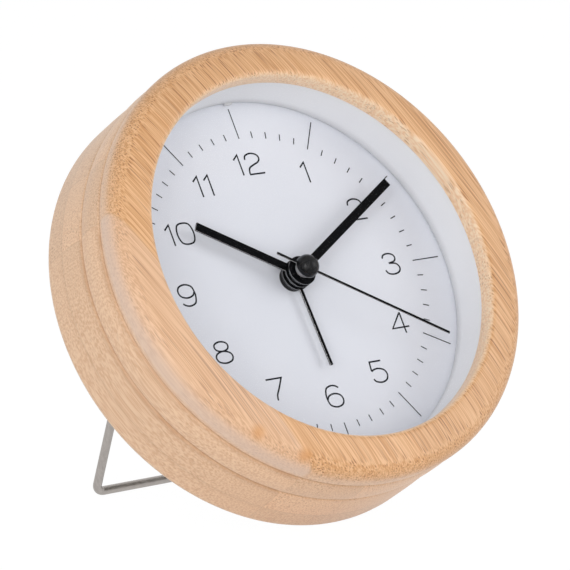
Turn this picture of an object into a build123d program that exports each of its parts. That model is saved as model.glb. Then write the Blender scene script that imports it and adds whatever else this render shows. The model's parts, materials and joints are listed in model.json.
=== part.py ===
from build123d import *
import os
from math import cos, radians, sin

# Round table alarm clock: a ring turned from stacked bamboo plies holds a lens, a white reflector, a
# dial and a geared quartz movement with four hands. A plastic back cover carries the setting knobs,
# the alarm switch, the battery door and the folding wire stand.
# All pieces are modelled in the dial's frame, in millimetres: X to 3 o'clock, Y to 12 o'clock, Z out
# of the face, and Z = 0 on the front of the dial. The last section leans the clock back on its stand.

# Stance on the table
lean_deg = 33.5
stand_open_deg = 53.5

# Wooden case
case_radius = 62.25
case_wall = 8.05
lens_ledge = 3.0
lip_height = 3.2
lip_bevel = 0.8
shoulder_drop = 5.4
shoulder_round = 4.5
shoulder_sweep_deg = 75.0
front_band = 4.3
groove_pitch = 9.7
groove_depth = 0.45
rear_round = 3.0

# Lens, reflector ring and dial
disc_play = 0.2
lens_thickness = 2.0
lens_gap = 1.5
reflector_recess = 0.8
reflector_taper = 0.6
reflector_wall = 1.2
reflector_key_width = 2.4
reflector_key_height = 1.0
dial_thickness = 0.8

# Hands: each tip gap runs from the hand's tip to the visible edge of the dial
hand_thickness = 0.5
hand_spacing = 1.2
hand_hub_radius = 4.1
hand_collar_radius = 3.3
hour_tip_gap = 19.9
hour_width = 2.45
minute_tip_gap = 8.0
minute_width = 2.45
alarm_tip_gap = 25.5
alarm_width = 0.95
second_tip_gap = 6.6
second_width = 0.75
second_tail = 9.2
second_thickness = 0.3
second_pipe_radius = 1.6
second_pipe_height = 2.1
second_cap_radius = 3.2
hour_deg = 302.6
minute_deg = 60.7
second_deg = 123.0
alarm_deg = 177.8

# Movement: plates and centre tubes
carrier_floor = 1.0
carrier_wall = 1.8
carrier_rim_height = 3.0
carrier_rim_wall = 1.4
plate_thickness = 1.2
bush_rise = 1.2
alarm_hand_lift = 0.8
bush_wall = 0.9
tube_wall = 0.6
running_gap = 0.08
housing_wall = 1.5
housing_floor = 1.3
housing_corner = 2.0
housing_left = 27.0
pivot_depth = 0.8
pivot_end_gap = 0.1

# Movement: gear train
wheel_thickness = 0.8
level_gap = 0.5
front_gap = 0.4
train_distance = 7.2
rotor_distance = 7.0
alarm_distance = 9.0
arbor_radius = 0.45
third_line_deg = 90.0
idler_line_deg = 270.0
rotor_line_deg = 225.0
motion_line_deg = 152.0
alarm_line_deg = 218.0
rotor_teeth = 8
idler_teeth = 48
idler_pinion_teeth = 10
seconds_teeth = 50
seconds_pinion_teeth = 8
third_teeth = 60
third_pinion_teeth = 8
minute_teeth = 64
minute_pinion_teeth = 10
motion_teeth = 30
motion_pinion_teeth = 8
hour_teeth = 32
alarm_pinion_teeth = 15
alarm_teeth = 30
tooth_addendum = 0.8
tooth_root = 1.7
tooth_tip_share = 0.07
magnet_radius = 2.4
magnet_height = 2.0
magnet_gap = 0.6

# Movement: motor, electronics and alarm sounder
stator_thickness = 0.8
stator_width = 8.2
stator_limb = 4.0
coil_radius = 3.0
coil_core_width = 2.4
board_thickness = 1.0
board_width = 16.5
board_lift = 1.2
chip_radius = 2.6
chip_height = 1.1
crystal_radius = 1.0
crystal_length = 6.0
buzzer_radius = 6.2
buzzer_height = 3.6
contact_width = 1.6
contact_thickness = 0.3
post_half = 1.1
part_margin = 0.6

# Battery (AA) and its bay
battery_radius = 7.1
battery_length = 50.5
battery_nub_radius = 2.75
battery_nub_height = 1.2
bay_play = 0.2
bay_wall = 0.8
bay_wheel_gap = 0.4
plate_contact = 0.4
leaf_contact_depth = 3.6
leaf_thickness = 0.4
leaf_width = 8.0

# Back cover, door, knobs and switch
cover_thickness = 2.0
cover_ledge = 4.2
cover_clear = 0.2
door_thickness = 1.4
door_lap = 0.6
door_play = 0.15
door_pin_radius = 0.4
door_pin_length = 0.9
finger_notch_radius = 5.0
finger_notch_depth = 1.2
pillar_radius = 1.8
pillar_inset = 5.4
knob_radius = 4.1
knob_height = 3.4
knob_gap = 0.5
knob_flutes = 18
knob_flute_depth = 0.35
switch_travel = 4.0
switch_nub = 3.4
switch_nub_rise = 1.6
switch_flange = 1.0
switch_play = 0.15
switch_lap = 1.0
switch_stem = 1.6
sound_slot_width = 1.2
sound_slot_count = 5
screw_radius = 1.0
screw_head_radius = 1.6
screw_head_height = 0.9
screw_play = 0.03
screw_post_wall = 0.4
case_screw_length = 8.0
case_screw_count = 4
case_screw_start_deg = 45.0

# Wire stand
wire_radius = 1.2
wire_gap = 0.5
stand_half = 34.4
stand_pivot_y = 6.0
stand_bend = 2.5
stub_bend = 1.5
stub_length = 3.3
hinge_wall = 1.4
hinge_end_wall = 1.0
hinge_play = 0.05
stop_gap = 0.1
stop_reach = 5.0
stop_thickness = 2.0

# Radii that follow from the case
bore_radius = case_radius - case_wall
lip_radius = bore_radius - lens_ledge
disc_radius = bore_radius - disc_play
reflector_top_radius = lip_radius + reflector_recess
dial_view_radius = reflector_top_radius - reflector_taper
cover_seat_radius = bore_radius + cover_ledge
cover_radius = cover_seat_radius - disc_play

# Heights in front of the dial: the hands are stacked on the bush, and the lens clears the cap
alarm_hand_z = bush_rise + alarm_hand_lift
hour_hand_z = alarm_hand_z + hand_thickness + hand_spacing
minute_hand_z = hour_hand_z + hand_thickness + hand_spacing
second_hand_z = minute_hand_z + hand_thickness + second_pipe_height
cap_z = second_hand_z + second_thickness
lens_rear_z = cap_z + second_cap_radius + lens_gap
lens_front_z = lens_rear_z + lens_thickness
lip_z = lens_front_z + lip_height
shoulder_z = lip_z - shoulder_drop
front_groove_z = shoulder_z - front_band
rear_groove_z = front_groove_z - groove_pitch

# Heights behind the dial: the battery sets how deep the clock is
dial_rear_z = -dial_thickness
plate_front_z = dial_rear_z - carrier_floor
plate_rear_z = plate_front_z - plate_thickness
bay_radius = battery_radius + bay_play
battery_z = plate_rear_z - bay_wall - bay_radius
cover_front_z = battery_z - bay_radius - cover_clear
rear_z = cover_front_z - cover_thickness
bay_rear_z = cover_front_z + cover_clear


def level(index):
    """Front face of a layer of the gear train, counted from the front plate."""
    return plate_rear_z - front_gap - index * (wheel_thickness + level_gap)


alarm_level, hour_level, motion_level, minute_level = level(0), level(1), level(2), level(3)
third_level, seconds_level, idler_level = level(4), level(5), level(6)
floor_z = level(7)
housing_rear_z = floor_z - housing_floor

# Radii of the centre tubes, from the seconds arbor outwards
minute_bore = arbor_radius + running_gap
minute_tube = minute_bore + tube_wall
hour_bore = minute_tube + running_gap
hour_tube = hour_bore + tube_wall
alarm_bore = hour_tube + running_gap
alarm_tube = alarm_bore + tube_wall
bush_bore = alarm_tube + running_gap
bush_radius = bush_bore + bush_wall


def polar(radius, angle_deg, centre=(0.0, 0.0)):
    """Point at a distance and an angle from a centre, counter-clockwise from 3 o'clock."""
    return (centre[0] + radius * cos(radians(angle_deg)), centre[1] + radius * sin(radians(angle_deg)))


third_at = polar(train_distance, third_line_deg)
idler_at = polar(train_distance, idler_line_deg)
motion_at = polar(train_distance, motion_line_deg)
alarm_at = polar(alarm_distance, alarm_line_deg)
rotor_at = polar(rotor_distance, rotor_line_deg, idler_at)


def module_for(distance, teeth, mate_teeth):
    return 2 * distance / (teeth + mate_teeth)


# Plan of the movement: the battery stands clear of the widest centre wheel
minute_module = module_for(train_distance, minute_teeth, third_pinion_teeth)
wheel_reach = minute_module * (minute_teeth / 2 + tooth_addendum)
battery_x = wheel_reach + bay_wheel_gap + bay_wall + bay_radius
battery_half = battery_length / 2
bay_half = (battery_length + 2 * plate_contact + leaf_contact_depth) / 2
battery_y = bay_half - plate_contact - battery_half
housing_right = battery_x + bay_radius + bay_wall
housing_half = bay_half + housing_wall
cavity_left = housing_wall - housing_left
cavity_right = battery_x - bay_radius - bay_wall
screw_inset = screw_head_radius + screw_post_wall
movement_screw_points = [
    (x, side * (bay_half - screw_inset))
    for x in (cavity_left + screw_inset, cavity_right - screw_inset)
    for side in (-1, 1)
]

# Door and stand follow the battery
door_half_width = bay_radius + door_lap - door_play
door_half_length = bay_half + door_lap - door_play
door_axis_y = door_half_length - door_thickness / 2
door_axis_z = rear_z + door_thickness / 2
pivot_z = rear_z - wire_gap - wire_radius
ground_depth = (
    (case_radius - rear_round) * cos(radians(lean_deg))
    - (rear_z + rear_round) * sin(radians(lean_deg))
    + rear_round
)
pivot_height = stand_pivot_y * cos(radians(lean_deg)) + pivot_z * sin(radians(lean_deg)) + ground_depth
stand_length = (pivot_height - wire_radius) / cos(radians(stand_open_deg - lean_deg))

# Motor, board and sounder in the movement's left half
movement_seat_z = housing_rear_z + screw_head_height
stator_rear_z = third_level - wheel_thickness
stator_front_z = stator_rear_z + stator_thickness
stator_left = cavity_left + 2 * screw_inset + part_margin
stator_right = rotor_at[0] + magnet_radius + magnet_gap + stator_limb
stator_top = rotor_at[1] + stator_width / 2
stator_bottom = rotor_at[1] - stator_width / 2
coil_y = stator_bottom - coil_radius - magnet_gap
stator_posts = [(x, coil_y) for x in (stator_left + stator_limb / 2, stator_right - stator_limb / 2)]
coil_left = stator_left + stator_limb + part_margin
coil_right = stator_right - stator_limb - part_margin
core_front_z = stator_front_z + stator_thickness
board_rear_z = floor_z + board_lift
board_front_z = board_rear_z + board_thickness
board_left = cavity_left + part_margin
board_right = board_left + board_width
buzzer_at = (cavity_left + buzzer_radius + part_margin, stator_top + buzzer_radius + part_margin)
board_bottom = buzzer_at[1] + buzzer_radius + part_margin
board_top = bay_half - 2 * screw_inset
board_posts = [
    (board_left + 2 * post_half, board_bottom + 2 * post_half),
    (board_right - 2 * post_half, board_top - 2 * post_half),
]
switch_at = ((board_left + board_right) / 2, (board_bottom + board_top) / 2)
motion_module = module_for(train_distance, motion_teeth, minute_pinion_teeth)
motion_reach = motion_module * (motion_teeth / 2 + tooth_addendum)
contact_foot = (board_right - contact_width, motion_at[1] + motion_reach + contact_width)
contact_z = (hour_level - wheel_thickness + hour_level) / 2
magnet_rear_z = (stator_rear_z + stator_front_z - magnet_height) / 2

# Screws, pivots, pillars and stand hinges
case_screw_points = [
    polar(bore_radius + cover_ledge / 2, case_screw_start_deg + index * 360 / case_screw_count)
    for index in range(case_screw_count)
]
screw_seat_z = rear_z + screw_head_height
case_screw_end_z = screw_seat_z + case_screw_length
front_pivot_z = plate_rear_z + pivot_depth
rear_pivot_z = floor_z - pivot_depth
knob_end_z = rear_z - knob_gap - knob_height / 2
pillar_points = [
    (x, side * (bay_half - pillar_inset))
    for x in (cavity_left + pillar_inset, cavity_right - pillar_inset)
    for side in (-1, 1)
]
hinge_inner = stand_half + stub_bend + 2 * hinge_play
hinge_outer = hinge_inner + stub_length + 2 * hinge_play + hinge_end_wall


def block(x0, x1, y0, y1, z0, z1):
    """Box between two corners."""
    return Pos((x0 + x1) / 2, (y0 + y1) / 2, (z0 + z1) / 2) * Box(x1 - x0, y1 - y0, z1 - z0)


def rod(radius, at, z0, z1):
    """Upright cylinder between two heights."""
    return Pos(at[0], at[1], (z0 + z1) / 2) * Cylinder(radius, z1 - z0)


def across(radius, x0, x1, y, z):
    """Cylinder along X."""
    return Pos((x0 + x1) / 2, y, z) * Rot(0, 90, 0) * Cylinder(radius, x1 - x0)


def along(radius, x, y0, y1, z):
    """Cylinder along Y."""
    return Pos(x, (y0 + y1) / 2, z) * Rot(90, 0, 0) * Cylinder(radius, y1 - y0)


def turned(*points):
    """Ring turned from a section given as (radius, height) points."""
    return revolve(Plane.XZ * make_face(Polyline(*points, close=True)), Axis.Z)


def upright(points, z0, z1):
    """Closed outline raised between two heights."""
    return Pos(0, 0, z0) * extrude(make_face(Polyline(*points, close=True)), z1 - z0)


def gear(teeth, module, at, phase_deg, z_rear, z_front):
    """Wheel with straight-flanked teeth, one of them pointing along phase_deg."""
    pitch = 360 / teeth
    tip = module * (teeth / 2 + tooth_addendum)
    root = module * (teeth / 2 - tooth_root)
    outline = []
    for tooth in range(teeth):
        middle = phase_deg + tooth * pitch
        outline.append(polar(root, middle - pitch / 2, at))
        outline.append(polar(tip, middle - tooth_tip_share * pitch, at))
        outline.append(polar(tip, middle + tooth_tip_share * pitch, at))
    return upright(outline, z_rear, z_front)


def meshed(teeth, mate_teeth, line_deg):
    """Phase that meshes a wheel with a mate of phase 0 that sees it along line_deg."""
    return line_deg + 180 + 180 / teeth + line_deg * mate_teeth / teeth


def wooden_case():
    """Turned ring: crowned front, two shallow grooves round the side, and the seats inside."""
    sweep = radians(shoulder_sweep_deg)
    shoulder_r = case_radius - shoulder_round
    shoulder_end = (shoulder_r + shoulder_round * cos(sweep), shoulder_z + shoulder_round * sin(sweep))
    groove_r = case_radius - groove_depth
    crest_z = rear_groove_z - groove_pitch
    round_z = rear_z + rear_round
    section = [
        CenterArc((shoulder_r, shoulder_z), shoulder_round, 0, shoulder_sweep_deg),
        TangentArc(shoulder_end, (lip_radius, lip_z), tangent=(-sin(sweep), cos(sweep))),
        Polyline(
            (lip_radius, lip_z),
            (lip_radius, lens_front_z),
            (bore_radius, lens_front_z),
            (bore_radius, cover_front_z),
            (cover_seat_radius, cover_front_z),
            (cover_seat_radius, rear_z),
            (case_radius - rear_round, rear_z),
        ),
        CenterArc((case_radius - rear_round, round_z), rear_round, 270, 90),
        Line((case_radius, round_z), (case_radius, crest_z)),
        TangentArc((case_radius, crest_z), (groove_r, rear_groove_z), tangent=(0, 1)),
        ThreePointArc(
            (groove_r, rear_groove_z),
            (case_radius, (rear_groove_z + front_groove_z) / 2),
            (groove_r, front_groove_z),
        ),
        TangentArc((case_radius, shoulder_z), (groove_r, front_groove_z), tangent=(0, -1)),
    ]
    face = make_face(Curve() + section)
    lip_edge = face.vertices().sort_by(Axis.Y)[-1]
    face = chamfer(lip_edge, lip_bevel)
    ring = revolve(Plane.XZ * face, Axis.Z)
    for point in case_screw_points:
        ring -= rod(screw_radius + screw_play, point, cover_front_z, case_screw_end_z + screw_play)
    return ring


def screw(at, z_seat, z_end):
    """Pan-head screw driven from the rear, with its head below the seat."""
    head = rod(screw_head_radius, at, z_seat - screw_head_height, z_seat)
    return head + rod(screw_radius, at, z_seat, z_end)


def reflector_ring():
    """White flared ring between lens and dial, with a key at 12 o'clock."""
    ring = turned(
        (reflector_top_radius, lens_rear_z),
        (disc_radius, lens_rear_z),
        (disc_radius, lens_rear_z - reflector_wall),
        (reflector_top_radius + reflector_wall, lens_rear_z - reflector_wall),
        (dial_view_radius + reflector_wall, 0),
        (dial_view_radius, 0),
    )
    half = reflector_key_width / 2
    inner = dial_view_radius - reflector_key_height / 2
    return ring + block(-half, half, inner, dial_view_radius + reflector_wall / 2, 0, reflector_key_height)


def movement_outline(margin):
    """Plan of the movement, grown by a margin."""
    width = housing_left + housing_right + 2 * margin
    middle = (housing_right - housing_left) / 2
    return Pos(middle, 0) * RectangleRounded(width, 2 * (housing_half + margin), housing_corner + margin)


def movement_carrier():
    """Cup that backs the dial, frames the movement and reaches back to the cover."""
    cup = rod(disc_radius, (0, 0), cover_front_z, dial_rear_z)
    cup -= rod(disc_radius - carrier_wall, (0, 0), cover_front_z, plate_front_z)
    cup -= rod(bush_radius + running_gap, (0, 0), plate_front_z, dial_rear_z)
    rim = movement_outline(disc_play + carrier_rim_wall) - movement_outline(disc_play)
    return cup + Pos(0, 0, plate_front_z - carrier_rim_height) * extrude(rim, carrier_rim_height)


def front_plate():
    """Front plate of the movement, with the centre bush and the front pivot holes."""
    plate = Pos(0, 0, plate_rear_z) * extrude(movement_outline(0), plate_thickness)
    plate += rod(bush_radius, (0, 0), plate_front_z, bush_rise)
    plate -= rod(bush_bore, (0, 0), plate_rear_z, bush_rise)
    for at in (third_at, idler_at, rotor_at, motion_at, alarm_at):
        plate -= rod(arbor_radius + running_gap, at, plate_rear_z, plate_rear_z + pivot_depth + pivot_end_gap)
    for at in movement_screw_points:
        plate -= rod(screw_radius + screw_play, at, plate_rear_z, plate_rear_z + pivot_depth + pivot_end_gap)
    return plate


def movement_housing():
    """Rear moulding of the movement: gear space, rear pivot holes, posts and the battery bay."""
    body = Pos(0, 0, housing_rear_z) * extrude(movement_outline(0), plate_rear_z - housing_rear_z)
    bay_outer = bay_radius + bay_wall
    trough = along(bay_outer, battery_x, -housing_half, housing_half, battery_z)
    bay_left = battery_x - bay_outer
    trough += block(bay_left, housing_right, -housing_half, housing_half, bay_rear_z, battery_z)
    right_strip = block(bay_left, housing_right, -housing_half, housing_half, bay_rear_z, plate_rear_z)
    bay_walls = Pos(0, 0, bay_rear_z) * extrude(movement_outline(0), plate_rear_z - bay_rear_z)
    bay_walls &= right_strip
    cavity = block(cavity_left, battery_x, -bay_half, bay_half, floor_z, plate_rear_z) - trough
    for at in movement_screw_points:
        cavity -= rod(screw_head_radius, at, floor_z, plate_rear_z)
    for posts, top in ((stator_posts, stator_rear_z), (board_posts, board_rear_z)):
        for x, y in posts:
            cavity -= block(x - post_half, x + post_half, y - post_half, y + post_half, floor_z, top)
    bay = along(bay_radius, battery_x, -bay_half, bay_half, battery_z)
    bay += block(battery_x - bay_radius, battery_x + bay_radius, -bay_half, bay_half, bay_rear_z, battery_z)
    body = body + bay_walls - cavity - bay
    for at in ((0, 0), third_at, idler_at, rotor_at):
        body -= rod(arbor_radius + running_gap, at, floor_z - pivot_depth - pivot_end_gap, floor_z)
    for at in (motion_at, alarm_at):
        body -= rod(arbor_radius + running_gap, at, housing_rear_z, floor_z)
    for at in movement_screw_points:
        body -= rod(screw_head_radius + screw_play, at, housing_rear_z, movement_seat_z)
        body -= rod(screw_radius + screw_play, at, movement_seat_z, plate_rear_z)
    body -= rod(buzzer_radius / 3, buzzer_at, housing_rear_z, floor_z)
    half = switch_stem / 2 + switch_play
    slot = block(
        switch_at[0] - half, switch_at[0] + half + switch_travel,
        switch_at[1] - half, switch_at[1] + half,
        housing_rear_z, floor_z,
    )
    return body - slot


def stator():
    """Flat iron yoke round the rotor, with two limbs that reach down to the coil's core."""
    plate = block(stator_left, stator_right, stator_bottom, stator_top, stator_rear_z, stator_front_z)
    for x in (stator_left, stator_right - stator_limb):
        plate += block(
            x, x + stator_limb, coil_y - stator_limb / 2, stator_bottom, stator_rear_z, stator_front_z
        )
    return plate - rod(magnet_radius + magnet_gap, rotor_at, stator_rear_z, stator_front_z)


def coil_core():
    """Iron strip through the coil, lying on the stator's limbs."""
    half = coil_core_width / 2
    return block(stator_left, stator_right, coil_y - half, coil_y + half, stator_front_z, core_front_z)


def coil():
    """Copper winding round the core."""
    core_z = (stator_front_z + core_front_z) / 2
    half = coil_core_width / 2
    winding = across(coil_radius, coil_left, coil_right, coil_y, core_z)
    return winding - block(coil_left, coil_right, coil_y - half, coil_y + half, stator_front_z, core_front_z)


def alarm_contact():
    """Spring blade on the board that the alarm release closes."""
    half = contact_width / 2
    x, y = contact_foot
    foot = block(x - half, x + half, y - half, y + half, board_front_z, contact_z)
    tip = polar(train_distance + contact_width, (third_line_deg + motion_line_deg) / 2)
    run = ((tip[0] - x) ** 2 + (tip[1] - y) ** 2) ** 0.5
    aim = Vector(tip[0] - x, tip[1] - y).get_signed_angle(Vector(1, 0)) * -1
    blade = block(0, run, -half, half, contact_z, contact_z + contact_thickness)
    return foot + Pos(x, y, 0) * Rot(0, 0, aim) * blade


def battery():
    """AA cell, positive end up."""
    top = battery_y + battery_half
    cell = along(battery_radius, battery_x, battery_y - battery_half, top - battery_nub_height, battery_z)
    return cell + along(battery_nub_radius, battery_x, top - battery_nub_height, top, battery_z)


def leaf_contact():
    """Bent leaf spring that presses on the battery's flat end."""
    z0, z1 = battery_z - leaf_width / 2, battery_z + leaf_width / 2
    y0 = -bay_half
    y1 = battery_y - battery_half
    half = battery_radius * 0.7
    path = [
        (battery_x - half, y0),
        (battery_x + half, y0),
        (battery_x + half, y0 + leaf_thickness),
        (battery_x - half + 2 * leaf_thickness, y0 + leaf_thickness),
        (battery_x, y1 - leaf_thickness),
        (battery_x + half / 2, y1 - leaf_thickness),
        (battery_x + half / 2, y1),
        (battery_x - leaf_thickness, y1),
        (battery_x - half, y0 + leaf_thickness),
    ]
    return upright(path, z0, z1)


def back_cover():
    """Rear disc with the battery opening, knob holes, switch slot, sound slots and stand hinges."""
    cover = rod(cover_radius, (0, 0), rear_z, cover_front_z)
    for at in pillar_points:
        cover += rod(pillar_radius, at, cover_front_z, housing_rear_z)
    cover -= block(
        battery_x - bay_radius, battery_x + bay_radius, -bay_half, bay_half, rear_z, cover_front_z
    )
    door_x = bay_radius + door_lap
    door_y = bay_half + door_lap
    seat_z = rear_z + door_thickness + door_play
    cover -= block(battery_x - door_x, battery_x + door_x, -door_y, door_y, rear_z, seat_z)
    reach = door_half_width + door_pin_length + door_play
    cover -= across(
        door_pin_radius + running_gap, battery_x - reach, battery_x + reach, door_axis_y, door_axis_z
    )
    cover -= rod(finger_notch_radius, (battery_x, -door_y), rear_z, rear_z + finger_notch_depth)
    for at in (motion_at, alarm_at):
        cover -= rod(2 * arbor_radius, at, rear_z, cover_front_z)
    half = switch_nub / 2 + switch_play
    cover -= block(
        switch_at[0] - half, switch_at[0] + half + switch_travel,
        switch_at[1] - half, switch_at[1] + half,
        rear_z, cover_front_z,
    )
    for index in range(sound_slot_count):
        x0, x1 = buzzer_at[0] - buzzer_radius / 2, buzzer_at[0] + buzzer_radius / 2
        y0 = buzzer_at[1] + (2 * index - sound_slot_count + 0.5) * sound_slot_width
        cover -= block(x0, x1, y0, y0 + sound_slot_width, rear_z, cover_front_z)
    for at in case_screw_points:
        cover -= rod(screw_head_radius + screw_play, at, rear_z, screw_seat_z)
        cover -= rod(screw_radius + screw_play, at, screw_seat_z, cover_front_z)
    for side in (-1, 1):
        cover += stand_hinge(side)
    return cover


def stand_hinge(side):
    """Moulded block that holds one end of the wire, with a sloped stop for the open arm."""
    radius = wire_radius + hinge_play + hinge_wall
    boss = across(radius, hinge_inner, hinge_outer, stand_pivot_y, pivot_z)
    boss += block(hinge_inner, hinge_outer, stand_pivot_y - radius, stand_pivot_y + radius, pivot_z, rear_z)
    arm = Vector(-cos(radians(stand_open_deg)), -sin(radians(stand_open_deg)))
    out = Vector(sin(radians(stand_open_deg)), -cos(radians(stand_open_deg)))
    pivot = Vector(stand_pivot_y, pivot_z)
    near = pivot + out * (wire_radius + stop_gap)
    far = near + out * stop_thickness
    slab = [
        near + arm * stop_reach,
        far + arm * stop_reach,
        far + arm * ((rear_z - far.Y) / arm.Y),
        near + arm * ((rear_z - near.Y) / arm.Y),
    ]
    stop_face = Plane.YZ * make_face(Polyline(*slab, close=True))
    stop = Pos(stand_half - wire_radius, 0, 0) * extrude(stop_face, hinge_outer - stand_half + wire_radius)
    hinge = boss + stop
    bore_end = hinge_outer - hinge_end_wall
    hinge -= across(wire_radius + hinge_play, hinge_inner, bore_end, stand_pivot_y, pivot_z)
    return hinge if side > 0 else mirror(hinge, Plane.YZ)


def battery_door():
    """Door over the battery, with a rounded hinge edge and a pin at each side of it."""
    half = door_thickness / 2
    x0, x1 = battery_x - door_half_width, battery_x + door_half_width
    door = block(x0, x1, -door_half_length, door_axis_y, rear_z, rear_z + door_thickness)
    door += across(half, x0, x1, door_axis_y, door_axis_z)
    return door + across(
        door_pin_radius, x0 - door_pin_length, x1 + door_pin_length, door_axis_y, door_axis_z
    )


def alarm_switch():
    """Sliding button with a flange behind the cover and a stem to the board."""
    x, y = switch_at
    half = switch_nub / 2
    wide = half + switch_travel + switch_lap
    stem = switch_stem / 2
    flange_front = cover_front_z + switch_play + switch_flange
    button = block(x - half, x + half, y - half, y + half, rear_z - switch_nub_rise, flange_front)
    tall = half + switch_lap
    button += block(x - wide, x + wide, y - tall, y + tall, cover_front_z + switch_play, flange_front)
    return button + block(x - stem, x + stem, y - stem, y + stem, flange_front, board_rear_z - switch_play)


def knob(at):
    """Fluted setting knob behind the cover."""
    z1 = rear_z - knob_gap
    outline = []
    for flute in range(knob_flutes):
        outline.append(polar(knob_radius, flute * 360 / knob_flutes, at))
        outline.append(polar(knob_radius - knob_flute_depth, (flute + 0.5) * 360 / knob_flutes, at))
    return upright(outline, z1 - knob_height, z1) - rod(arbor_radius, at, z1 - knob_height / 2, z1)


def arbor(at, z0, z1):
    return rod(arbor_radius, at, z0, z1)


def wheel_and_pinion(at, wheel, pinion):
    """Wheel with its pinion in front of it; each is (teeth, mating teeth, distance, phase, front height)."""
    teeth, mate, distance, phase, front = wheel
    body = gear(teeth, module_for(distance, teeth, mate), at, phase, front - wheel_thickness, front)
    teeth, mate, distance, phase, pinion_front = pinion
    return body + gear(teeth, module_for(distance, teeth, mate), at, phase, front, pinion_front)


def rotor():
    teeth, mate = rotor_teeth, idler_teeth
    phase = meshed(teeth, mate, rotor_line_deg)
    pinion = gear(
        teeth, module_for(rotor_distance, teeth, mate), rotor_at, phase,
        idler_level - wheel_thickness, magnet_rear_z,
    )
    return pinion + arbor(rotor_at, rear_pivot_z, front_pivot_z)


def rotor_magnet():
    magnet = rod(magnet_radius, rotor_at, magnet_rear_z, magnet_rear_z + magnet_height)
    return magnet - rod(arbor_radius, rotor_at, magnet_rear_z, magnet_rear_z + magnet_height)


def intermediate_wheel():
    phase = meshed(idler_pinion_teeth, seconds_teeth, idler_line_deg)
    wheel = wheel_and_pinion(
        idler_at,
        (idler_teeth, rotor_teeth, rotor_distance, 0, idler_level),
        (idler_pinion_teeth, seconds_teeth, train_distance, phase, seconds_level),
    )
    return wheel + arbor(idler_at, rear_pivot_z, front_pivot_z)


def seconds_wheel():
    wheel = wheel_and_pinion(
        (0, 0),
        (seconds_teeth, idler_pinion_teeth, train_distance, 0, seconds_level),
        (seconds_pinion_teeth, third_teeth, train_distance, 0, third_level),
    )
    return wheel + arbor((0, 0), rear_pivot_z, cap_z)


def third_wheel():
    phase = meshed(third_teeth, seconds_pinion_teeth, third_line_deg)
    wheel = wheel_and_pinion(
        third_at,
        (third_teeth, seconds_pinion_teeth, train_distance, phase, third_level),
        (third_pinion_teeth, minute_teeth, train_distance, 0, minute_level),
    )
    return wheel + arbor(third_at, rear_pivot_z, front_pivot_z)


def minute_wheel():
    phase = meshed(minute_teeth, third_pinion_teeth, third_line_deg + 180)
    wheel = wheel_and_pinion(
        (0, 0),
        (minute_teeth, third_pinion_teeth, train_distance, phase, minute_level),
        (minute_pinion_teeth, motion_teeth, train_distance, 0, motion_level),
    )
    wheel += rod(minute_tube, (0, 0), motion_level, minute_hand_z + hand_thickness)
    return wheel - rod(minute_bore, (0, 0), minute_level - wheel_thickness, minute_hand_z + hand_thickness)


def motion_wheel():
    phase = meshed(motion_teeth, minute_pinion_teeth, motion_line_deg)
    wheel = wheel_and_pinion(
        motion_at,
        (motion_teeth, minute_pinion_teeth, train_distance, phase, motion_level),
        (motion_pinion_teeth, hour_teeth, train_distance, 0, hour_level),
    )
    return wheel + arbor(motion_at, knob_end_z, front_pivot_z)


def hour_wheel():
    teeth, mate = hour_teeth, motion_pinion_teeth
    phase = meshed(teeth, mate, motion_line_deg + 180)
    rear = hour_level - wheel_thickness
    wheel = gear(teeth, module_for(train_distance, teeth, mate), (0, 0), phase, rear, hour_level)
    wheel += rod(hour_tube, (0, 0), rear, hour_hand_z + hand_thickness)
    return wheel - rod(hour_bore, (0, 0), rear, hour_hand_z + hand_thickness)


def alarm_wheel():
    teeth, mate = alarm_teeth, alarm_pinion_teeth
    phase = meshed(teeth, mate, alarm_line_deg + 180)
    rear = alarm_level - wheel_thickness
    wheel = gear(teeth, module_for(alarm_distance, teeth, mate), (0, 0), phase, rear, alarm_level)
    wheel += rod(alarm_tube, (0, 0), rear, alarm_hand_z + hand_thickness)
    return wheel - rod(alarm_bore, (0, 0), rear, alarm_hand_z + hand_thickness)


def alarm_pinion():
    teeth, mate = alarm_pinion_teeth, alarm_teeth
    module = module_for(alarm_distance, teeth, mate)
    pinion = gear(teeth, module, alarm_at, 0, alarm_level - wheel_thickness, alarm_level)
    return pinion + arbor(alarm_at, knob_end_z, front_pivot_z)


def hand(width, tip_gap, bore, z, angle_deg):
    """Straight flat hand with a round hub and a collar behind it, turned clockwise from 12 o'clock."""
    length = dial_view_radius - tip_gap
    blade = block(-width / 2, width / 2, 0, length, z, z + hand_thickness)
    blade += rod(hand_hub_radius, (0, 0), z, z + hand_thickness)
    blade += rod(hand_collar_radius, (0, 0), z - hand_spacing / 2, z)
    blade -= rod(bore, (0, 0), z - hand_spacing / 2, z + hand_thickness)
    return Rot(0, 0, -angle_deg) * blade


def second_hand():
    length = dial_view_radius - second_tip_gap
    half = second_width / 2
    blade = block(-half, half, -second_tail, length, second_hand_z, second_hand_z + second_thickness)
    blade += rod(second_cap_radius, (0, 0), second_hand_z, second_hand_z + second_thickness)
    blade -= rod(arbor_radius, (0, 0), second_hand_z, second_hand_z + second_thickness)
    return Rot(0, 0, -second_deg) * blade


def second_hand_pipe():
    base = minute_hand_z + hand_thickness + running_gap
    pipe = rod(second_pipe_radius, (0, 0), base, second_hand_z)
    return pipe - rod(arbor_radius, (0, 0), base, second_hand_z)


def second_hand_cap():
    """Domed cap on the second hand."""
    ball = Pos(0, 0, cap_z) * Sphere(second_cap_radius)
    return ball & rod(second_cap_radius, (0, 0), cap_z, cap_z + second_cap_radius)


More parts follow.
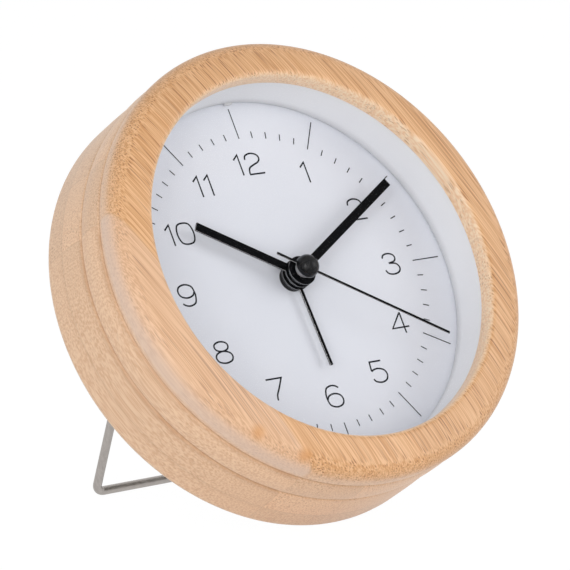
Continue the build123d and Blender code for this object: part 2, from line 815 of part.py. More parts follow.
def stand_wire():
    """Bent wire stand, drawn folded against the cover and then swung open."""
    outer = hinge_inner + stub_length
    points = [
        (-outer, stand_pivot_y),
        (-stand_half, stand_pivot_y),
        (-stand_half, stand_pivot_y - stand_length),
        (stand_half, stand_pivot_y - stand_length),
        (stand_half, stand_pivot_y),
        (outer, stand_pivot_y),
    ]
    path = Pos(0, 0, pivot_z) * FilletPolyline(*points, radius=[stub_bend, stand_bend, stand_bend, stub_bend])
    wire = sweep(Plane(origin=path @ 0, z_dir=path % 0) * Circle(wire_radius), path)
    hinge_line = Axis((0, stand_pivot_y, pivot_z), (1, 0, 0))
    return wire.rotate(hinge_line, stand_open_deg)


nodes = {
    "wood_case": wooden_case(),
    "lens": rod(disc_radius, (0, 0), lens_rear_z, lens_front_z),
    "reflector_ring": reflector_ring(),
    "dial": rod(disc_radius, (0, 0), dial_rear_z, 0) - rod(bush_radius + running_gap, (0, 0), dial_rear_z, 0),
    "movement_carrier": movement_carrier(),
    "front_plate": front_plate(),
    "movement_housing": movement_housing(),
    "movement_screws": Compound(
        [screw(at, movement_seat_z, front_pivot_z) for at in movement_screw_points]
    ),
    "stator": stator(),
    "coil_core": coil_core(),
    "coil": coil(),
    "circuit_board": block(board_left, board_right, board_bottom, board_top, board_rear_z, board_front_z),
    "chip": rod(chip_radius, (board_left + 2 * chip_radius, board_top - 2 * chip_radius), board_front_z,
                board_front_z + chip_height),
    "quartz_crystal": across(
        crystal_radius, board_left + part_margin, board_left + part_margin + crystal_length,
        board_bottom + 3 * crystal_radius, board_front_z + crystal_radius,
    ),
    "buzzer": rod(buzzer_radius, buzzer_at, floor_z, floor_z + buzzer_height),
    "alarm_contact": alarm_contact(),
    "battery": battery(),
    "battery_plate_contact": block(
        battery_x - leaf_width / 2, battery_x + leaf_width / 2, bay_half - plate_contact, bay_half,
        battery_z - leaf_width / 2, battery_z + leaf_width / 2,
    ),
    "battery_leaf_contact": leaf_contact(),
    "back_cover": back_cover(),
    "back_cover_screws": Compound([screw(at, screw_seat_z, case_screw_end_z) for at in case_screw_points]),
    "rotor": rotor(),
    "rotor_magnet": rotor_magnet(),
    "intermediate_wheel": intermediate_wheel(),
    "seconds_wheel": seconds_wheel(),
    "second_hand": second_hand(),
    "second_hand_pipe": second_hand_pipe(),
    "second_hand_cap": second_hand_cap(),
    "third_wheel": third_wheel(),
    "minute_wheel": minute_wheel(),
    "minute_hand": hand(minute_width, minute_tip_gap, minute_tube, minute_hand_z, minute_deg),
    "motion_wheel": motion_wheel(),
    "time_knob": knob(motion_at),
    "hour_wheel": hour_wheel(),
    "hour_hand": hand(hour_width, hour_tip_gap, hour_tube, hour_hand_z, hour_deg),
    "alarm_pinion": alarm_pinion(),
    "alarm_knob": knob(alarm_at),
    "alarm_wheel": alarm_wheel(),
    "alarm_hand": hand(alarm_width, alarm_tip_gap, alarm_tube, alarm_hand_z, alarm_deg),
    "alarm_switch": alarm_switch(),
    "battery_door": battery_door(),
    "stand_wire": stand_wire(),
}

# Lean the clock back on its stand: the table is Z = 0, and the origin is midway from front to back
lean = radians(lean_deg)
foot_y = stand_pivot_y - stand_length * cos(radians(stand_open_deg))
foot_z = pivot_z - stand_length * sin(radians(stand_open_deg))
front_reach = (
    (case_radius - shoulder_round) * sin(lean) + shoulder_z * cos(lean) + shoulder_round
)
case_rear_reach = (case_radius - rear_round) * sin(lean) - (rear_z + rear_round) * cos(lean) + rear_round
foot_reach = foot_y * sin(lean) - foot_z * cos(lean) + wire_radius
rear_reach = max(case_rear_reach, foot_reach)
on_table = Pos(0, (front_reach - rear_reach) / 2, ground_depth) * Rot(90 - lean_deg, 0, 0)

os.makedirs("parts", exist_ok=True)
for name, shape in nodes.items():
    export_step(on_table * shape, f"parts/{name}.step")
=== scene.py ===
import json
from math import atan2, cos, pi, radians, sin

import bmesh
import bpy
from mathutils import Matrix, Vector


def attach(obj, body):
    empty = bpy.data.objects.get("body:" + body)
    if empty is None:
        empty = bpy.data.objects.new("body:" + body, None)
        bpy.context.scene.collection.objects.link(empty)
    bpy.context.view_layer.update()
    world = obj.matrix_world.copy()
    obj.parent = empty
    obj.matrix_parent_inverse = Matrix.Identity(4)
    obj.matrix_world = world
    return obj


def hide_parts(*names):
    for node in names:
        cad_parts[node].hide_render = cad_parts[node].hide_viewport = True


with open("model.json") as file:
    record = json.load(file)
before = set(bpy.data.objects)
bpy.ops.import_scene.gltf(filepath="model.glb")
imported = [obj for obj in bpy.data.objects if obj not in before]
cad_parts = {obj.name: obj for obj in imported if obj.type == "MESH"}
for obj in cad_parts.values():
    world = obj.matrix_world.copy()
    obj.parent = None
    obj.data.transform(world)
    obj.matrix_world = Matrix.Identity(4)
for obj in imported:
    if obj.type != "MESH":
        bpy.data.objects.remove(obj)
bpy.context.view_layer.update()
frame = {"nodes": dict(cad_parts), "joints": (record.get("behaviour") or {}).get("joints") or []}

# The dial's frame, in millimetres: X to 3 o'clock, Y to 12 o'clock, Z out of the face
MM = 0.001
spin = next(joint for joint in frame["joints"] if joint["name"] == "seconds_spin")
dial_centre = Vector(spin["pos_m"])
outward = -Vector(spin["axis"])
sideways = Vector((1, 0, 0))
DIAL_TURN = Matrix((sideways, outward.cross(sideways), outward)).transposed()
DIAL = Matrix.Translation(dial_centre) @ DIAL_TURN.to_4x4() @ Matrix.Scale(MM, 4)

# Wooden ring, in millimetres
case_radius, bore_radius, lip_radius, cover_seat_radius = 62.23, 54.2, 51.2, 58.4
lip_z, lip_foot_z, cover_front_z, rear_z = 18.2, 13.02, -18.6, -20.6
shoulder_z, shoulder_round, shoulder_sweep = 12.8, 4.5, 75
front_groove_z, rear_groove_z, rear_crest_z = 8.5, -1.2, -10.9
rear_round, lip_round = 3.0, 1.7
groove_depth, crease_depth, crease_width = 0.45, 0.4, 0.8

# Bamboo, in millimetres: its plies and strips, and the sizes of its fibres along, across and through
ply_thickness, strip_width, grain_deg = 9.7, 15.4, 113.0
bundle_size, thread_size, band_size = (45, 0.68, 0.68), (35, 0.3, 0.6), (110, 4, 5)
culm_shift = (170, 7, 9)
crown_reach, crown_fall = 7.7, 0.0145
dot_radius, dot_reach, dot_fall = 57.0, 5.0, -0.06
front_ply_z = lip_z - 1.2
left_joint, outermost_strip = 3 * strip_width, 3.9
knuckles = ((-39.6, -44.4, 16.4), (-28.4, -52.6, 16.6))
knuckle_core, knuckle_rim = 0.3, 3.0

# Flared ring and its key, in millimetres
ring_radius, ring_seat_radius, ring_base_radius, ring_top_radius = 54.0, 53.2, 52.6, 52.0
ring_top_z, ring_seat_z, ring_ease = 13.0, 11.8, 0.5
key_half, key_reach, key_root, key_height, key_bevel = 1.2, 0.5, 0.6, 1.0, 0.25
# height over which the flared ring's painted shade at its foot fades out
foot_shade_height = 3.5

# Dial and its print, in millimetres
dial_edge, tick_inner, tick_outer, minute_tick, tick_width = 51.4, 41.2, 50.0, 1.9, 0.3
print_z = 0.03
numeral_radius, numeral_height, numeral_stroke, numeral_gap = 33.7, 6.0, 0.47, 0.3

# Glass, and the dome and bush of the second hand, in millimetres
glass_radius, glass_rear_z, glass_front_z, glass_bevel = 51.1, 13.1, 15.0, 0.25
dome_z, dome_radius, hub_steps = 8.3, 3.2, 96
bush_bore, bush_radius, bush_rear_z, bush_front_z = 1.0, 2.3, 6.05, 8.0
bush_rear_bevel, bush_front_bevel = 0.1, 0.15

# Eased edges, in millimetres, and the slopes between which a hand's edge is bare
hand_edge, moulding_edge, knob_edge = 0.1, 0.2, 0.15
steepest, flattest = 0.15, 0.95
weld_distance, sharp_deg = 0.001, 35

# Light and view
lamp_distance = 1.0
floor_half = 3
camera_forward = Vector((0.594, 0.778, -0.2046)).normalized()
camera_sideways, camera_up, camera_back = -1.58, -1.5, -1062.2
camera_sensor, camera_lens = 36.0, 255.0


def srgb(code):
    """Linear colour of an sRGB hex value."""
    parts = [int(code[i:i + 2], 16) / 255 for i in (1, 3, 5)]
    return [c / 12.92 if c <= 0.04045 else ((c + 0.055) / 1.055) ** 2.4 for c in parts] + [1.0]


def add(tree, kind, inputs=None, **settings):
    """Adds a node, sets its properties, and links or sets its inputs."""
    made = tree.nodes.new(kind)
    for name, value in settings.items():
        setattr(made, name, value)
    for name, value in (inputs or {}).items():
        if isinstance(value, bpy.types.NodeSocket):
            tree.links.new(value, made.inputs[name])
        else:
            made.inputs[name].default_value = value
    return made


def material(name, **shader_values):
    """New material: its tree, its shader with plain values set, and the object's own coordinates."""
    made = bpy.data.materials.new(name)
    made.use_nodes = True
    tree = made.node_tree
    shader = tree.nodes["Principled BSDF"]
    for socket, value in shader_values.items():
        shader.inputs[socket.replace("_", " ")].default_value = value
    return made, tree, shader, add(tree, "ShaderNodeTexCoord").outputs["Object"]


def moulded(name, light, dark, roughness, grit_mm, depth_mm, sheen=0.5):
    """Moulded, coated or pressed surface: a drift between two tones over 22 mm, and a fine even grit."""
    made, tree, shader, place = material(name, Roughness=roughness, Specular_IOR_Level=sheen)
    drift = add(tree, "ShaderNodeTexNoise", {
        "Vector": place, "Scale": 1 / (22 * MM), "Detail": 2.0,
    })
    grit = add(tree, "ShaderNodeTexNoise", {
        "Vector": place, "Scale": 1 / (grit_mm * MM), "Detail": 3.0,
    })
    both = add(tree, "ShaderNodeMath", {
        0: drift.outputs["Fac"], 1: grit.outputs["Fac"],
    }, operation="MULTIPLY")
    share = add(tree, "ShaderNodeMapRange", {
        "Value": both.outputs[0], "From Min": 0.1, "From Max": 0.45,
    })
    tone = add(tree, "ShaderNodeMix", {
        0: share.outputs[0], 6: srgb(dark), 7: srgb(light),
    }, data_type="RGBA")
    bump = add(tree, "ShaderNodeBump", {
        "Height": grit.outputs["Fac"], "Distance": depth_mm * MM, "Strength": 0.6,
    })
    tree.links.new(tone.outputs[2], shader.inputs["Base Color"])
    tree.links.new(bump.outputs[0], shader.inputs["Normal"])
    return made


def metal(name, light, dark, rough_low, rough_high, streak_mm):
    """Bare or plated metal: tone and gloss vary in streaks of the given size along X, Y and Z."""
    made, tree, shader, place = material(name, Metallic=1.0)
    turn = add(tree, "ShaderNodeMapping", {
        "Vector": place, "Scale": [1 / (size * MM) for size in streak_mm],
    })
    streak = add(tree, "ShaderNodeTexNoise", {"Vector": turn.outputs[0], "Scale": 1.0, "Detail": 4.0})
    tone = add(tree, "ShaderNodeMix", {
        0: streak.outputs["Fac"], 6: srgb(dark), 7: srgb(light),
    }, data_type="RGBA")
    gloss = add(tree, "ShaderNodeMapRange", {
        "Value": streak.outputs["Fac"], "From Min": 0.3, "From Max": 0.7,
        "To Min": rough_low, "To Max": rough_high,
    })
    tree.links.new(tone.outputs[2], shader.inputs["Base Color"])
    tree.links.new(gloss.outputs[0], shader.inputs["Roughness"])
    return made


def laminated_bamboo():
    """Laminated bamboo, turned and given a satin clear coat. Its straight fibre bundles show as long
    darker strokes where the surface runs with them and as dots where it cuts across them. Strips and
    plies differ slightly in tone, the turned side is paler and pinker than the front, and the coat
    gives a soft sheen."""
    made, tree, shader, place = material(
        "laminated_bamboo", Coat_Weight=0.5, Coat_Roughness=0.34, Roughness=0.6,
    )
    turn = (DIAL_TURN @ Matrix.Rotation(radians(grain_deg), 3, "Z")).to_euler()
    # millimetres along the fibre, across it in the face, and out of the face
    grain = add(tree, "ShaderNodeMapping", {
        "Vector": place, "Location": dial_centre, "Rotation": turn, "Scale": (MM, MM, MM),
    }, vector_type="TEXTURE").outputs[0]
    along, across, height = add(tree, "ShaderNodeSeparateXYZ", {0: grain}).outputs
    # the front is nearly flat, so the strokes follow its slight crown and run on for many millimetres
    flat = add(tree, "ShaderNodeCombineXYZ", {0: along, 1: across})
    radius = add(tree, "ShaderNodeVectorMath", {0: flat.outputs[0]}, operation="LENGTH").outputs["Value"]
    inset = add(tree, "ShaderNodeMapRange", {
        "Value": radius, "From Min": lip_radius, "From Max": lip_radius + crown_reach,
        "To Max": crown_reach,
    })
    fall = add(tree, "ShaderNodeMath", {0: inset.outputs[0], 1: 2.0}, operation="POWER")
    level = add(tree, "ShaderNodeMath", {
        0: fall.outputs[0], 1: crown_fall, 2: height,
    }, operation="MULTIPLY_ADD")
    # towards the shoulder the bundles run out sooner, as dots
    outset = add(tree, "ShaderNodeMapRange", {
        "Value": radius, "From Min": dot_radius, "From Max": dot_radius + dot_reach, "To Max": dot_reach,
    })
    drop = add(tree, "ShaderNodeMath", {0: outset.outputs[0], 1: 2.0}, operation="POWER")
    level = add(tree, "ShaderNodeMath", {
        0: drop.outputs[0], 1: dot_fall, 2: level.outputs[0],
    }, operation="MULTIPLY_ADD")
    wood = add(tree, "ShaderNodeCombineXYZ", {0: along, 1: across, 2: level.outputs[0]})
    # strips and plies, each with its own tone and its own stretch of culm
    strip = add(tree, "ShaderNodeMath", {0: across, 1: strip_width}, operation="DIVIDE")
    strip = add(tree, "ShaderNodeMath", {0: strip.outputs[0], 1: outermost_strip}, operation="MINIMUM")
    strip_index = add(tree, "ShaderNodeMath", {0: strip.outputs[0]}, operation="FLOOR")
    under = add(tree, "ShaderNodeMath", {0: height, 1: front_ply_z}, operation="MINIMUM")
    ply = add(tree, "ShaderNodeMath", {0: under.outputs[0], 1: rear_groove_z}, operation="SUBTRACT")
    ply = add(tree, "ShaderNodeMath", {0: ply.outputs[0], 1: ply_thickness}, operation="DIVIDE")
    ply_index = add(tree, "ShaderNodeMath", {0: ply.outputs[0]}, operation="FLOOR")
    board = add(tree, "ShaderNodeCombineXYZ", {0: strip_index.outputs[0], 1: ply_index.outputs[0]})
    board_tone = add(tree, "ShaderNodeTexWhiteNoise", {"Vector": board.outputs[0]}, noise_dimensions="2D")
    shift = add(tree, "ShaderNodeVectorMath", {
        0: board_tone.outputs["Color"], 1: culm_shift,
    }, operation="MULTIPLY")
    culm = add(tree, "ShaderNodeVectorMath", {
        0: wood.outputs[0], 1: shift.outputs[0],
    }, operation="ADD").outputs[0]
    # fibre bundles: dots of about 0.35 mm, drawn out along the fibre
    bundles = add(tree, "ShaderNodeMapping", {"Vector": culm, "Scale": [1 / size for size in bundle_size]})
    bundle = add(tree, "ShaderNodeTexVoronoi", {
        "Vector": bundles.outputs[0], "Scale": 1.0, "Randomness": 0.8,
    })
    dot = add(tree, "ShaderNodeMapRange", {
        "Value": bundle.outputs["Distance"], "From Min": 0.17, "From Max": 0.36,
        "To Min": 1.0, "To Max": 0.0,
    }, interpolation_type="SMOOTHSTEP")
    # fine fibres, and broader bands of denser wood
    threads = add(tree, "ShaderNodeMapping", {"Vector": culm, "Scale": [1 / size for size in thread_size]})
    thread = add(tree, "ShaderNodeTexNoise", {"Vector": threads.outputs[0], "Scale": 1.0, "Detail": 2.0})
    fine = add(tree, "ShaderNodeMapRange", {
        "Value": thread.outputs["Fac"], "From Min": 0.38, "From Max": 0.6,
    }).outputs[0]
    bands = add(tree, "ShaderNodeMapping", {"Vector": culm, "Scale": [1 / size for size in band_size]})
    band = add(tree, "ShaderNodeTexNoise", {"Vector": bands.outputs[0], "Scale": 1.0, "Detail": 2.0})
    dense = add(tree, "ShaderNodeMapRange", {
        "Value": band.outputs["Fac"], "From Min": 0.35, "From Max": 0.65, "To Min": 0.45, "To Max": 1.0,
    })
    # the turned side and the lip's inner wall show their bundles only faintly
    side = add(tree, "ShaderNodeMapRange", {
        "Value": height, "From Min": shoulder_z + 3.6, "From Max": shoulder_z - 2.0,
    }, interpolation_type="SMOOTHSTEP")
    inner = add(tree, "ShaderNodeMapRange", {
        "Value": radius, "From Min": lip_radius + 1.0, "From Max": lip_radius + 0.1,
    })
    slow = add(tree, "ShaderNodeMapRange", {
        "Value": height, "From Min": shoulder_z + 2.0, "From Max": front_groove_z - 2.0,
    })
    turned_away = add(tree, "ShaderNodeMath", {
        0: slow.outputs[0], 1: inner.outputs[0],
    }, operation="MAXIMUM")
    faint = add(tree, "ShaderNodeMapRange", {
        "Value": turned_away.outputs[0], "To Min": 1.0, "To Max": 0.46,
    })
    # and fainter still on the outermost left strip, whose side runs with the fibre
    left_strip = add(tree, "ShaderNodeMapRange", {
        "Value": across, "From Min": left_joint - 0.3, "From Max": left_joint + 0.5,
    }).outputs[0]
    calm = add(tree, "ShaderNodeMath", {0: turned_away.outputs[0], 1: 0.45}, operation="MAXIMUM")
    calm = add(tree, "ShaderNodeMath", {0: calm.outputs[0], 1: left_strip}, operation="MULTIPLY")
    calm = add(tree, "ShaderNodeMapRange", {"Value": calm.outputs[0], "To Min": 1.0, "To Max": 0.45})
    stroke = dot.outputs[0]
    for share in (dense, faint, calm):
        stroke = add(tree, "ShaderNodeMath", {
            0: stroke, 1: share.outputs[0],
        }, operation="MULTIPLY").outputs[0]
    # wood between the bundles, on the front, on the turned side and on the lip's inner wall; the inner wall
    # is paler wood, lightened further by painted light that lifts it out of its shade
    front = add(tree, "ShaderNodeMix", {
        0: fine, 6: srgb("#C9915A"), 7: srgb("#E8B888"),
    }, data_type="RGBA")
    flank = add(tree, "ShaderNodeMix", {
        0: fine, 6: srgb("#E1B58E"), 7: srgb("#F2CDA9"),
    }, data_type="RGBA")
    ground = add(tree, "ShaderNodeMix", {
        0: side.outputs[0], 6: front.outputs[2], 7: flank.outputs[2],
    }, data_type="RGBA")
    wall_tone_and_light = add(tree, "ShaderNodeMix", {
        0: fine, 6: srgb("#EDC297"), 7: srgb("#F8DCBB"),
    }, data_type="RGBA")
    ground = add(tree, "ShaderNodeMix", {
        0: inner.outputs[0], 6: ground.outputs[2], 7: wall_tone_and_light.outputs[2],
    }, data_type="RGBA")
    struck = add(tree, "ShaderNodeMix", {
        0: stroke, 6: ground.outputs[2], 7: srgb("#9A6230"),
    }, data_type="RGBA")
    tint = add(tree, "ShaderNodeMapRange", {
        "Value": board_tone.outputs["Value"], "To Min": 0.94, "To Max": 1.04,
    })
    toned = add(tree, "ShaderNodeVectorMath", {
        0: struck.outputs[2], "Scale": tint.outputs[0],
    }, operation="SCALE")
    # the outermost left strip is of paler wood in the front ply, and along the shoulder it is paler still
    # with a painted sheen of the coat
    above_groove = add(tree, "ShaderNodeMapRange", {
        "Value": height, "From Min": front_groove_z + 0.4, "From Max": front_groove_z + 2.6,
    }, interpolation_type="SMOOTHSTEP")
    below_front = add(tree, "ShaderNodeMapRange", {
        "Value": height, "From Min": shoulder_z + 3.4, "From Max": shoulder_z + 0.8,
        "To Min": 0.25, "To Max": 0.62,
    }, interpolation_type="SMOOTHSTEP")
    pale_wood_and_sheen = add(tree, "ShaderNodeMath", {
        0: above_groove.outputs[0], 1: below_front.outputs[0],
    }, operation="MULTIPLY")
    pale_wood_and_sheen = add(tree, "ShaderNodeMath", {0: pale_wood_and_sheen.outputs[0], 1: left_strip}, operation="MULTIPLY")
    paled_and_sheened = add(tree, "ShaderNodeMix", {
        0: pale_wood_and_sheen.outputs[0], 6: toned.outputs[0], 7: srgb("#E3C9B7"),
    }, data_type="RGBA")
    # glue lines: plain at the two grooves, faint between the rear plies, and fine between strips
    near_ply = add(tree, "ShaderNodeMath", {0: ply.outputs[0], 1: 0.5}, operation="PINGPONG")
    near_strip = add(tree, "ShaderNodeMath", {0: strip.outputs[0], 1: 0.5}, operation="PINGPONG")
    ply_line = add(tree, "ShaderNodeMapRange", {
        "Value": near_ply.outputs[0], "From Min": 0.01, "From Max": 0.045, "To Min": 0.38, "To Max": 0.0,
    }, interpolation_type="SMOOTHSTEP")
    fading = add(tree, "ShaderNodeMapRange", {
        "Value": height, "From Min": rear_groove_z - 6, "From Max": rear_groove_z - 3,
        "To Min": 0.3, "To Max": 1.0,
    })
    ply_line = add(tree, "ShaderNodeMath", {
        0: ply_line.outputs[0], 1: fading.outputs[0],
    }, operation="MULTIPLY")
    strip_line = add(tree, "ShaderNodeMapRange", {
        "Value": near_strip.outputs[0], "From Min": 0.004, "From Max": 0.012,
        "To Min": 0.12, "To Max": 0.0,
    })
    line = add(tree, "ShaderNodeMath", {
        0: ply_line.outputs[0], 1: strip_line.outputs[0],
    }, operation="MAXIMUM")
    lined = add(tree, "ShaderNodeMix", {
        0: line.outputs[0], 6: paled_and_sheened.outputs[2], 7: srgb("#8E6038"),
    }, data_type="RGBA")
    # each ply's front edge, behind a groove, is denser and browner, and darkened by painted shade from the
    # groove, most of all in the outermost left strip
    rise = add(tree, "ShaderNodeMath", {0: ply.outputs[0]}, operation="FRACT")
    groove_stain_and_shade = add(tree, "ShaderNodeMapRange", {
        "Value": rise.outputs[0], "From Min": 0.72, "From Max": 1.0, "To Max": 0.55,
    }, interpolation_type="SMOOTHSTEP")
    stained = add(tree, "ShaderNodeMapRange", {"Value": left_strip, "To Min": 0.35, "To Max": 1.2})
    edge = groove_stain_and_shade.outputs[0]
    for share in (side, dense, stained, fading):
        edge = add(tree, "ShaderNodeMath", {
            0: edge, 1: share.outputs[0],
        }, operation="MULTIPLY").outputs[0]
    finished = add(tree, "ShaderNodeMix", {
        0: edge, 6: lined.outputs[2], 7: srgb("#B88860"),
    }, data_type="RGBA")
    # two small orange marks where knuckles of the culm were, on the front's edge near 7 o'clock
    for knuckle in knuckles:
        spot = add(tree, "ShaderNodeVectorMath", {
            0: place, 1: DIAL @ Vector(knuckle),
        }, operation="DISTANCE")
        mark = add(tree, "ShaderNodeMapRange", {
            "Value": spot.outputs["Value"], "From Min": knuckle_core * MM, "From Max": knuckle_rim * MM,
            "To Min": 0.6, "To Max": 0.0,
        }, interpolation_type="SMOOTHSTEP")
        finished = add(tree, "ShaderNodeMix", {
            0: mark.outputs[0], 6: finished.outputs[2], 7: srgb("#D08C45"),
        }, data_type="RGBA")
    bump = add(tree, "ShaderNodeBump", {
        "Height": stroke, "Distance": 0.02 * MM, "Strength": 0.08,
    }, invert=True)
    tree.links.new(finished.outputs[2], shader.inputs["Base Color"])
    tree.links.new(bump.outputs[0], shader.inputs["Normal"])
    return made


def clear_glass():
    """Clear flat glass: nearly all light passes straight through, so only a faint sheen shows."""
    made, tree, shader, place = material("clear_glass", Base_Color=srgb("#20262A"), Alpha=0.015, IOR=1.5)
    smear = add(tree, "ShaderNodeTexNoise", {"Vector": place, "Scale": 1 / (30 * MM), "Detail": 2.0})
    gloss = add(tree, "ShaderNodeMapRange", {
        "Value": smear.outputs["Fac"], "To Min": 0.02, "To Max": 0.08,
    })
    tree.links.new(gloss.outputs[0], shader.inputs["Roughness"])
    return made


def white_abs():
    """Matt white ABS of the flared ring: soft and even, with painted shade that darkens it towards its foot
    at the dial.
    """
    made = moulded("white_abs", "#EEEFF1", "#E8E9EC", 0.6, 0.3, 0.006)
    tree = made.node_tree
    base = tree.nodes["Principled BSDF"].inputs["Base Color"]
    plain = base.links[0].from_socket
    place = next(node for node in tree.nodes if node.type == "TEX_COORD").outputs["Object"]
    # painted shade: the ring darkens towards its foot, over the first millimetres above the dial
    lift = add(tree, "ShaderNodeVectorMath", {0: place, 1: dial_centre}, operation="SUBTRACT")
    lift = add(tree, "ShaderNodeVectorMath", {0: lift.outputs[0], 1: outward}, operation="DOT_PRODUCT")
    shade = add(tree, "ShaderNodeMapRange", {
        "Value": lift.outputs["Value"], "From Max": foot_shade_height * MM, "To Min": 0.72, "To Max": 1.0,
    }, interpolation_type="SMOOTHSTEP")
    foot_shaded = add(tree, "ShaderNodeVectorMath", {0: plain, "Scale": shade.outputs[0]}, operation="SCALE")
    tree.links.new(foot_shaded.outputs[0], base)
    return made


bamboo = laminated_bamboo()
glass = clear_glass()
ring_plastic = white_abs()
# Matt coated card: a cool white with no sheen
dial_card = moulded("coated_card", "#E8EBF2", "#E2E5ED", 0.75, 0.35, 0.004)
# Screen-printed ink: dark blue-grey, slightly glossier than the card
print_ink = moulded("screen_print_ink", "#1C1F27", "#14161D", 0.6, 0.3, 0.003, 0.2)
# Off-white ABS with a spark-eroded grain: it scatters light evenly
cover_plastic = moulded("grained_abs", "#E4E1DA", "#D9D6CE", 0.62, 0.45, 0.03)
# Grey ABS of the inner mouldings: plain and half matt
carrier_plastic = moulded("grey_abs", "#C9C8C4", "#BBBAB6", 0.6, 0.4, 0.02)
# Black ABS of knobs and slider: a broad, soft highlight
knob_plastic = moulded("black_abs", "#26262A", "#19191B", 0.48, 0.3, 0.01)
# Moulded acetal of plate, tubes and wheels: smooth and slightly waxy
tube_plastic = moulded("black_acetal", "#1E1E20", "#141415", 0.4, 0.4, 0.004, 0.2)
gear_plastic = moulded("natural_acetal", "#ECE7D6", "#DFD8C2", 0.42, 0.4, 0.004)
# Solder mask over copper: green and half glossy
solder_mask = moulded("green_solder_mask", "#2D6B3C", "#235832", 0.4, 0.6, 0.01)
# Moulded epoxy of the chip: black, with a coarse grit
chip_resin = moulded("black_epoxy", "#1F1F21", "#141416", 0.45, 0.5, 0.03)
# Printed foil round the cell: dark grey with a clear gloss
cell_jacket = moulded("printed_foil_jacket", "#55565A", "#46474B", 0.35, 0.8, 0.004)
# Pressed and sintered ferrite: dull dark grey, finely grained
magnet_stone = moulded("sintered_ferrite", "#48484B", "#38383B", 0.55, 0.2, 0.02)
# Black stove paint on sheet aluminium: satin, with a faint orange-peel
hand_paint = moulded("satin_black_paint", "#0F0F11", "#08080A", 0.5, 0.5, 0.004, 0.02)
# Black moulded dome: smoother than the paint, so it carries a soft highlight
cap_plastic = moulded("polished_black_abs", "#151517", "#0D0D0F", 0.22, 0.6, 0.003, 0.2)
# Sheared aluminium edge: bright, with the marks of the punch
cut_aluminium = metal("sheared_aluminium", "#E3E3E4", "#B9B9BB", 0.25, 0.45, (0.3, 0.3, 0.3))
# Turned aluminium: pale and silky, with fine rings from the tool
bright_pipe = metal("turned_aluminium", "#E6E6E8", "#C4C4C7", 0.55, 0.75, (2.0, 0.2, 0.2))
# Drawn steel wire: grey and half matt, with short marks from the die
wire_steel = metal("drawn_steel_wire", "#BDB7B2", "#948E8A", 0.3, 0.48, (1.2, 0.5, 2.4))
# Zinc plate: bluish and evenly speckled
zinc_plate = metal("zinc_plated_steel", "#C6C8CB", "#A3A5A8", 0.28, 0.45, (0.6, 0.6, 0.6))
# Rolled iron sheet: grey, streaked along the rolling
motor_iron = metal("rolled_iron_sheet", "#A6A7A9", "#858688", 0.3, 0.5, (4.0, 0.4, 0.4))
# Enamelled copper winding: red-brown, banded from turn to turn
winding_copper = metal("enamelled_copper_wire", "#C9754A", "#9E5431", 0.25, 0.4, (0.12, 4.0, 4.0))
# Drawn nickel can: bright, streaked along its length
crystal_can = metal("drawn_nickel_can", "#CFCFCC", "#AFAFAB", 0.2, 0.35, (3.0, 0.3, 0.3))
# Stamped brass: yellow, slightly clouded
buzzer_brass = metal("stamped_brass", "#CDB06A", "#AC8F4C", 0.25, 0.4, (1.5, 1.5, 1.5))
# Nickel-plated spring sheet: warm grey, streaked along the rolling
spring_brass = metal("nickel_plated_spring", "#D3CDB8", "#B3AC94", 0.22, 0.38, (2.0, 0.4, 0.4))


def piece(name, mesh, finishes, body, slot, *nodes, soft_deg=35):
    """Finished object: its finishes, its shading, the body it rides on and the nodes it stands for."""
    made = bpy.data.objects.new(name, mesh)
    bpy.context.scene.collection.objects.link(made)
    mesh.materials.clear()
    for finish in finishes:
        mesh.materials.append(finish)
    mesh.shade_smooth()
    mesh.set_sharp_from_angle(angle=radians(soft_deg))
    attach(made, body)
    if nodes:
        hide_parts(*nodes)
    return made


def as_mesh(name, shape):
    """Plain mesh from a finished shape."""
    mesh = bpy.data.meshes.new(name)
    shape.to_mesh(mesh)
    shape.free()
    return mesh


def turned(section, steps=288):
    """Ring or dome turned from a closed section of (radius, height) points in the dial's frame."""
    shape = bmesh.new()
    rows = []
    for step in range(steps):
        angle = 2 * pi * step / steps
        points = [Vector((r * cos(angle), r * sin(angle), z)) for r, z in section]
        rows.append([shape.verts.new(DIAL @ point) for point in points])
    for step, row in enumerate(rows):
        following = rows[(step + 1) % steps]
        for i in range(len(section)):
            j = (i + 1) % len(section)
            shape.faces.new((row[i], following[i], following[j], row[j]))
    bmesh.ops.remove_doubles(shape, verts=shape.verts, dist=0.0005 * MM)
    bmesh.ops.recalc_face_normals(shape, faces=shape.faces)
    return shape


def add_block(shape, low, high, bevel_mm):
    """Adds a block with eased edges between two corners in the dial's frame."""
    low, high = Vector(low), Vector(high)
    place = DIAL @ Matrix.Translation((low + high) / 2) @ Matrix.Diagonal((*(high - low), 1))
    verts = bmesh.ops.create_cube(shape, size=1.0, matrix=place)["verts"]
    edges = list({edge for vert in verts for edge in vert.link_edges})
    bmesh.ops.bevel(shape, geom=edges, offset=bevel_mm * MM, segments=3, profile=0.5, affect="EDGES")


def arc(r, z, radius, first_deg, last_deg, count):
    """Points of a section along an arc."""
    angles = [radians(first_deg + (last_deg - first_deg) * i / count) for i in range(count + 1)]
    return [(r + radius * cos(a), z + radius * sin(a)) for a in angles]


def eased(start, corner, end, count=8):
    """Rounded corner between two points of a section."""
    points = []
    for i in range(count + 1):
        t = i / count
        weights = ((1 - t) ** 2, 2 * t * (1 - t), t * t)
        values = zip(start, corner, end)
        points.append(tuple(sum(w * v for w, v in zip(weights, three)) for three in values))
    return points


def ply_side(z0, z1, crest_z, count=40):
    """Outside of one ply: fullest at its crest, drawn in towards the grooves, with a crease at each."""
    reach = max(abs(z0 - crest_z), abs(z1 - crest_z))
    points = []
    for i in range(count + 1):
        z = z0 + (z1 - z0) * i / count
        near = min(abs(z - front_groove_z), abs(z - rear_groove_z)) / crease_width
        drawn_in = groove_depth * ((z - crest_z) / reach) ** 2
        points.append((case_radius - drawn_in - crease_depth * max(0, 1 - near) ** 2, z))
    return points


